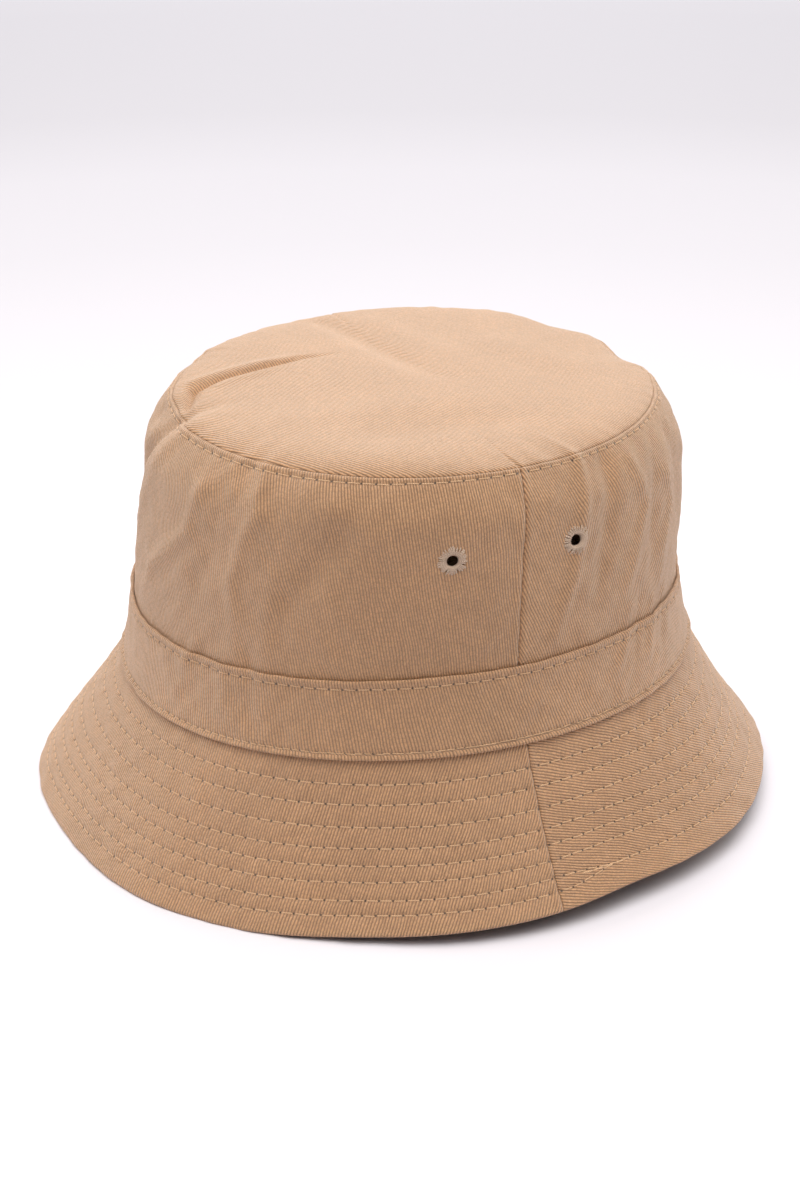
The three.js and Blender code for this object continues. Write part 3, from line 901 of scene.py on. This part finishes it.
# ------------------------------------------------
# Brim interlining and under panels: a stiff non-woven sheet inside the brim, and two more fans of
# twill below it with their right side down. The edge seam joins them to the tops.
INTERLINING_FACE = -1.0
INTERLINING_BACK = -1.4
UNDER_FACE = -2.1
UNDER_STEP = 1.1
UNDER_BEND = math.radians(60)

# Non-woven interlining: pale matt fibres that lie every way
felt, tree = new_material("nonwoven_interlining")
fibres = node(tree, "ShaderNodeTexNoise", None, {
    "Vector": node(tree, "ShaderNodeTexCoord", output=3), "Scale": 900.0, "Detail": 4.0})
tint = node(tree, "ShaderNodeMix", {"data_type": "RGBA"}, {
    0: fibres, 6: linear("#d9d2c6"), 7: linear("#f3efe8")}, 2)
surface = node(tree, "ShaderNodeBsdfPrincipled", None, {"Base Color": tint, "Roughness": 0.95})
node(tree, "ShaderNodeOutputMaterial", None, {"Surface": surface})

width = HEM_DOWN - HEAD_DOWN - 2.5
loop_down, loop_out = strip_loop(width, INTERLINING_FACE, INTERLINING_BACK, 0.3, 1.5)
loop_down = (loop_down + HEAD_DOWN + 1.0)[:, None]
turns = np.linspace(RIGHT_SEAM, FULL_TURN, 361)[None, :]
points = hat(turns, loop_down, loop_out[:, None] + 0 * turns)
faces = grid_faces(*points.shape[:2], tube=True)
interlining = mesh_object("brim_interlining_sheet", points, faces, felt)
close_ring(interlining)
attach(interlining, "hat")
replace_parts(interlining, "brim_interlining")

down, out, along_cloth = hem_line(UNDER_STEP, UNDER_BEND)
out = UNDER_FACE - out
for name, start in (("brim_under_front", RIGHT_SEAM), ("brim_under_rear", LEFT_SEAM)):
    angle = (start + stations(math.pi * BRIM_RADIUS, 1.8) / BRIM_RADIUS)[None, ::-1]
    relief = -quilted(angle, down, UNDER_DIP) - into_seam(from_sides(angle, start), 0.8)
    points = hat(angle, down, out + relief)
    faces = grid_faces(*points.shape[:2])
    flat = fan(-angle, -start - math.pi / 2, BRIM_SPREAD, HEAD_RADIUS, along_cloth - HEAD_DOWN)
    stitching = stitch_map(faces, angle, down, every_row)
    under = twill_panel(name + "_cloth", points, faces, flat, BRIM_GRAIN, stitching)
    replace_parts(under, name)


# ------------------------------------------------
# Sweatband: a folded strip of plain cotton tape sewn round the inside of the head opening. Its
# upper edge stands free against the crown's wall.
SWEATBAND_TOP = down_at(82.0)
SWEATBAND_BOTTOM = down_at(53.0)
SWEATBAND_OUT = (-1.9, -2.8)
SWEATBAND_RIPPLE = 0.25
TAPE_COLOUR = "#c8a27e"
# Painted shade in the grooves of the tape's weave, as a share of its colour
TAPE_GROOVE_PAINTED_SHADE = 0.72
RIB = 1.3
TAPE_STEP = 1.6

# Plain woven cotton tape: close ribs across it, matt with a slight sheen. Its colour darkens into the
# grooves between the ribs, as painted shade
cotton_tape, tree = new_material("cotton_tape")
pattern = node(tree, "ShaderNodeUVMap", {"uv_map": "pattern"})
spread = {"Vector": pattern, "Scale": 1.0 / RIB, "Distortion": 0.6, "Detail": 1.0}
ribs = node(tree, "ShaderNodeTexWave", {"bands_direction": "X"}, spread)
spread["Scale"] = 0.6 / RIB
picks = node(tree, "ShaderNodeTexWave", {"bands_direction": "Y"}, spread)
weave = node(tree, MATH, MULTIPLY, {0: ribs, 1: picks})
cloud = node(tree, "ShaderNodeTexNoise", None, {"Vector": pattern, "Scale": 0.2, "Detail": 4.0})
base = linear(TAPE_COLOUR)
darker = [c * TAPE_GROOVE_PAINTED_SHADE for c in base[:3]] + [1]
tint = node(tree, "ShaderNodeMix", {"data_type": "RGBA"}, {0: weave, 6: darker, 7: base}, 2)
clouded = {"data_type": "RGBA", "blend_type": "MULTIPLY"}
tint = node(tree, "ShaderNodeMix", clouded, {0: 0.25, 6: tint, 7: cloud}, 2)
relief = {"Height": weave, "Strength": 0.35, "Distance": 0.2 * MM}
relief = node(tree, "ShaderNodeBump", None, relief)
surface = node(tree, "ShaderNodeBsdfPrincipled", None, {
    "Base Color": tint, "Normal": relief, "Roughness": 0.8, "Specular IOR Level": 0.3,
    "Sheen Weight": 0.2, "Sheen Roughness": 0.4})
node(tree, "ShaderNodeOutputMaterial", None, {"Surface": surface})


def tape_round(name, top, bottom, outs, ripple=0.0):
    """A flat tape right round the inside of the hat."""
    tape_down, tape_out = (values[:, None] for values in strip_loop(bottom - top, *outs, 0.4))
    count = round(2 * math.pi * CROWN_RADIUS / TAPE_STEP)
    angle = np.linspace(RIGHT_SEAM, FULL_TURN, count + 1)[None, :]
    wavy = ripple * np.sin(angle * 37 + 2 * np.sin(angle * 5)) * near(tape_down, 0, 9)
    points = hat(angle, tape_down + top, tape_out + wavy)
    faces = grid_faces(*points.shape[:2], tube=True)
    flat = np.stack(np.broadcast_arrays(angle * CROWN_RADIUS, tape_down), -1)
    tape = mesh_object(name, points, faces, cotton_tape, pattern=flat.reshape(-1, 2)[faces])
    close_ring(tape)
    return tape


sweatband = tape_round(
    "sweatband_tape", SWEATBAND_TOP, SWEATBAND_BOTTOM, SWEATBAND_OUT, SWEATBAND_RIPPLE
)
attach(sweatband, "hat")
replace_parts(sweatband, "sweatband")


# ------------------------------------------------
# Seam tapes: narrow cotton tape over the raw edges inside the crown, one round the tip's seam and
# one down each side seam.
TIP_TAPE = (1.5, 11.5)
TIP_TAPE_OUT = (-1.1, -1.6)
SIDE_TAPE_WIDTH = 12.0
SIDE_TAPE_OUT = (-0.75, -1.25)

tip_tape = tape_round("tip_seam_tape_strip", *TIP_TAPE, TIP_TAPE_OUT)
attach(tip_tape, "hat")
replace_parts(tip_tape, "tip_seam_tape")

for name, seam in (("side_seam_tape_right", RIGHT_SEAM), ("side_seam_tape_left", LEFT_SEAM)):
    across, out = strip_loop(SIDE_TAPE_WIDTH, *SIDE_TAPE_OUT, 0.4, 1.2)
    across = (SIDE_TAPE_WIDTH / 2 - across)[:, None]
    down = np.linspace(TIP_TAPE[1] - 3, SWEATBAND_TOP + 5, 46)[None, :]
    points = hat(seam + across / CROWN_RADIUS, down, out[:, None])
    faces = grid_faces(*points.shape[:2], tube=True)
    flat = np.stack(np.broadcast_arrays(down, across), -1).reshape(-1, 2)
    side_tape = mesh_object(name + "_strip", points, faces, cotton_tape, pattern=flat[faces])
    work = bmesh.new()
    work.from_mesh(side_tape.data)
    bmesh.ops.holes_fill(work, edges=[e for e in work.edges if e.is_boundary], sides=0)
    bmesh.ops.recalc_face_normals(work, faces=work.faces)
    work.to_mesh(side_tape.data)
    work.free()
    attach(side_tape, "hat")
    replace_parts(side_tape, name)


# ------------------------------------------------
# Care label: a blank satin ribbon folded in two and caught by its ends on the sweatband at the
# back. It hangs free below that.
LABEL_WIDTH = 26.0
LABEL_TOP = 81.6
LABEL_BOTTOM = 46.3
LABEL_FACE = 88.75
LABEL_BACK = 89.40
LABEL_CLOTH = 0.2

# Satin ribbon: pale and smooth, with fine ribs across it and a soft gloss. Its darker colour lies in the
# grooves between the ribs, as painted shade
ribbon, tree = new_material("satin_ribbon")
pattern = node(tree, "ShaderNodeUVMap", {"uv_map": "pattern"})
ribs = node(tree, "ShaderNodeTexWave", {"bands_direction": "Y"}, {
    "Vector": pattern, "Scale": 0.9, "Distortion": 0.4, "Detail": 1.0})
# The darker colour goes into the grooves between the ribs: painted shade
tint = node(tree, "ShaderNodeMix", {"data_type": "RGBA"}, {
    0: ribs, 6: linear("#d8cfc0"), 7: linear("#f1ebdf")}, 2)
relief = {"Height": ribs, "Strength": 0.3, "Distance": 0.1 * MM}
relief = node(tree, "ShaderNodeBump", None, relief)
surface = node(tree, "ShaderNodeBsdfPrincipled", None, {
    "Base Color": tint, "Normal": relief, "Roughness": 0.45, "Sheen Weight": 0.3})
node(tree, "ShaderNodeOutputMaterial", None, {"Surface": surface})

half_fold = (LABEL_BACK - LABEL_FACE) / 2
bend = np.linspace(0, math.pi, 9)[1:-1]
hang = np.linspace(LABEL_TOP, LABEL_BOTTOM + half_fold, 30)
drop = np.concatenate([hang, LABEL_BOTTOM + half_fold * (1 - np.sin(bend)), hang[::-1]])
fold_depth = LABEL_FACE + half_fold * (1 - np.cos(bend))
depth = np.concatenate([0 * hang + LABEL_FACE, fold_depth, 0 * hang + LABEL_BACK])
length = np.concatenate([[0], np.cumsum(np.hypot(np.diff(drop), np.diff(depth)))])
drop, depth, length = (values[:, None] for values in (drop, depth, length))
side = np.linspace(-LABEL_WIDTH / 2, LABEL_WIDTH / 2, 21)[None, :]
hold = np.clip((drop - LABEL_BOTTOM) / (LABEL_TOP - LABEL_BOTTOM), 0, 1)
curved = side**2 / (2 * LABEL_FACE) * (0.4 + 0.6 * hold) + 0.25 * (1 - hold) * np.sin(side / 5)
points = np.stack(np.broadcast_arrays(curved - depth, side, drop), -1)
faces = grid_faces(*points.shape[:2])
flat = np.stack(np.broadcast_arrays(side, length), -1).reshape(-1, 2)
label = mesh_object("care_label_ribbon", points, faces, ribbon, pattern=flat[faces])
give_thickness(label, LABEL_CLOTH)
bpy.context.view_layer.update()
made = bpy.data.meshes.new_from_object(label.evaluated_get(bpy.context.evaluated_depsgraph_get()))
label.modifiers.clear()
label.data = made
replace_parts(label, "care_label")
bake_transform(label)


# ------------------------------------------------
# Rows of stitches: lockstitch in a polyester thread a shade paler than the cloth. Each stitch
# comes up out of one needle hole and goes down into the next.
THREAD_WIDTH = 0.38
THREAD_HEIGHT = 0.30
FINE_THREAD_WIDTH = 0.3
STITCH_ARCH = 0.44
STITCH_SINK = 0.30
STRAY = 0.07
# Where along a stitch its thread is measured out, and the sides of the thread
STATIONS = np.array([0.08, 0.14, 0.28, 0.5, 0.72, 0.86, 0.92])
ROUND = np.arange(6) * math.pi / 3
TWIST = 1.1


def sewing_thread(name, colour, darker):
    """Spun thread: fine plies twisted round each other, matt with a slight sheen. Its darker colour lies
    in the grooves between the plies, as painted shade.
    """
    material, tree = new_material(name)
    pattern = node(tree, "ShaderNodeUVMap", {"uv_map": "pattern"})
    plies = node(tree, "ShaderNodeTexWave", {"bands_direction": "DIAGONAL"}, {
        "Vector": pattern, "Scale": 1 / TWIST, "Distortion": 0.5})
    # The darker colour goes into the grooves between the plies: painted shade
    tint = node(tree, "ShaderNodeMix", {"data_type": "RGBA"}, {
        0: plies, 6: linear(darker), 7: linear(colour)}, 2)
    relief = {"Height": plies, "Strength": 0.4, "Distance": 0.1 * MM}
    relief = node(tree, "ShaderNodeBump", None, relief)
    surface = node(tree, "ShaderNodeBsdfPrincipled", None, {
        "Base Color": tint, "Normal": relief, "Roughness": 0.6, "Specular IOR Level": 0.4,
        "Sheen Weight": 0.3, "Sheen Roughness": 0.35})
    node(tree, "ShaderNodeOutputMaterial", None, {"Surface": surface})
    return material


def thread_tubes(centre, above, width, height):
    """Closed six-sided tubes: points and faces, from centre lines and a point above each."""
    out = above - centre
    out = out / np.linalg.norm(out, axis=-1, keepdims=True)
    along = np.gradient(centre, axis=1)
    side = np.cross(along, out)
    side = side / np.linalg.norm(side, axis=-1, keepdims=True)
    wide = (width[..., None] / 2)[..., None, :] * np.cos(ROUND)[:, None] * side[..., None, :]
    high = (height[..., None] / 2)[..., None, :] * np.sin(ROUND)[:, None] * out[..., None, :]
    points = centre[..., None, :] + wide + high
    tubes, stops, sides = points.shape[:3]
    walls = grid_faces(stops, sides, ring=True)
    last = (stops - 1) * sides
    ends = np.array([[0, 1, 2, 3], [0, 3, 4, 5], [last + 3, last + 2, last + 1, last],
                     [last + 5, last + 4, last + 3, last]])
    one = np.concatenate([walls, ends])
    faces = (one[None] + (np.arange(tubes) * stops * sides)[:, None, None]).reshape(-1, 4)
    legs = np.linalg.norm(np.diff(centre, axis=1, prepend=centre[:, :1]), axis=-1)
    length = np.cumsum(legs, axis=1)[..., None]
    pattern = np.stack(np.broadcast_arrays(length, ROUND * 0.25), -1)
    return points.reshape(-1, 3), faces, pattern.reshape(-1, 2)[faces]


def sew(name, row, face, outside=1, width=THREAD_WIDTH, seed=5):
    """The stitches of a row, lying on the cloth whose face is given, on its outside or inside."""
    holes = row.holes()
    draw = np.random.default_rng(seed)
    stray = draw.normal(0, STRAY, (2, len(holes) - 1, 1))
    angle = holes[:-1, None] + (holes[1:] - holes[:-1])[:, None] * STATIONS
    down = row.down(angle) + stray[0] + (0.10 + stray[1]) * (STATIONS - 0.5)
    arch = 1 - (2 * STATIONS - 1) ** 4
    out = face(angle, down) + outside * (STITCH_ARCH * arch - STITCH_SINK)
    centre = hat(angle, down, out)
    above = hat(angle, down, out + outside * 0.2)
    taper = 0.45 + 0.55 * np.minimum(arch * 2, 1)
    wide = width * taper * draw.uniform(0.9, 1.1, (len(angle), 1))
    points, faces, pattern = thread_tubes(centre, above, wide, THREAD_HEIGHT * taper + 0 * wide)
    stitches = mesh_object(name + "_thread", points, faces, thread, pattern=pattern)
    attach(stitches, "hat")
    return stitches


thread = sewing_thread("polyester_thread", "#eecaa2", "#cca077")
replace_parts(sew("tip_edge_stitching", tip_row, crown_out), "tip_edge_stitching")
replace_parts(sew("band_top_stitching", band_top_row, band_face), "band_top_stitching")
stitches = sew("band_bottom_stitching", band_bottom_row, band_face, width=FINE_THREAD_WIDTH)
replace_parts(stitches, "band_bottom_stitching")


def under_face(angle, down):
    """The brim's underside, where its rows of stitches show too."""
    return UNDER_FACE - quilted(angle, down, UNDER_DIP)


for seed, (name, row) in enumerate(brim_rows.items()):
    stitches = sew(name, row, quilted, seed=seed)
    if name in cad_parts:
        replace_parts(stitches, name)
    sew(name + "_under", row, under_face, -1, seed=seed + 50)

# The rows beside the right seam are sewn over twice, where one row runs into the next
TACK_START = RIGHT_SEAM + math.radians(4.5)
TACK_STOP = RIGHT_SEAM + math.radians(13)
TACK_WIDTH = 0.6
tack_down = merged(seventh + 1.2, FRONT_EDGE_SLANT + 0.2)
tack_row = Row(tack_down, start=TACK_START, stop=TACK_STOP, shift=0.8)
sew("brim_tack", tack_row, quilted, width=TACK_WIDTH, seed=71)


# ------------------------------------------------
# Eyelets: four embroidered air holes, two beside each side seam. A punched hole is overcast with
# close radial stitches, which dip into it and end unevenly on the cloth.
EYELET_STITCHES = 46
EYELET_THREAD_WIDTH = 0.42
EYELET_THREAD_HEIGHT = 0.32
PADDING_MIDDLE = 2.6
PADDING_HALF_WIDTH = 0.70
PADDING_HALF_HEIGHT = 0.62
PADDING_SINK = 0.3
# Along each stitch, from inside the hole to its far end: distances from the middle, and rises
RADII = np.array([1.7, 1.85, 2.1, 2.6, 3.2, 3.8, 4.4])
RISES = np.array([-0.9, -0.15, 0.30, 0.46, 0.42, 0.25, -0.25])
eyelet_thread = sewing_thread("embroidery_thread", "#e6cdb6", "#b3977f")

for seed, (name, middle) in enumerate(EYELETS.items()):
    draw = np.random.default_rng(80 + seed)

    def spot(across, downward, out):
        """A point beside the middle of the eyelet, on the cloth or out of it."""
        angle = middle + across / EYELET_RADIUS
        down = EYELET_DOWN + downward
        return hat(angle, down, crown_out(angle, down) + out)

    turn = np.arange(EYELET_STITCHES) + draw.uniform(-0.22, 0.22, EYELET_STITCHES)
    turn = (turn * 2 * math.pi / EYELET_STITCHES)[:, None]
    turn = turn + draw.normal(0, 0.05, (EYELET_STITCHES, 1)) * np.linspace(-0.3, 1, len(RADII))
    ends = draw.uniform(-0.35, 0.45, (EYELET_STITCHES, 1)) + 0.35 * np.abs(np.sin(turn * 2.5))
    radii = RADII + ends * np.clip((RADII - 2.4) / 2.2, 0, 1)
    across = radii * np.cos(turn)
    downward = radii * np.sin(turn) * 1.04
    centre = spot(across, downward, RISES)
    above = spot(across, downward, RISES + 0.2)
    width = np.minimum(2 * math.pi * radii / EYELET_STITCHES * 1.05, EYELET_THREAD_WIDTH)
    height = EYELET_THREAD_HEIGHT + 0 * width
    points, faces, pattern = thread_tubes(centre, above, width, height)
    stitches = mesh_object(name + "_stitches", points, faces, eyelet_thread, pattern=pattern)
    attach(stitches, "hat")
    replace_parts(stitches, name)

    around = np.linspace(0, 2 * math.pi, 40, endpoint=False)[None, :]
    section = np.linspace(0, 2 * math.pi, 12, endpoint=False)[:, None]
    reach = PADDING_MIDDLE + PADDING_HALF_WIDTH * np.cos(section)
    out = PADDING_HALF_HEIGHT * np.sin(section) - PADDING_SINK
    points = spot(reach * np.cos(around), reach * np.sin(around), out)
    faces = grid_faces(*points.shape[:2], ring=True, tube=True)
    flat = np.stack(np.broadcast_arrays(around * 2.35, section * 0.7), -1).reshape(-1, 2)
    padding = mesh_object(name + "_padding", points, faces, eyelet_thread, pattern=flat[faces])
    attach(padding, "hat")
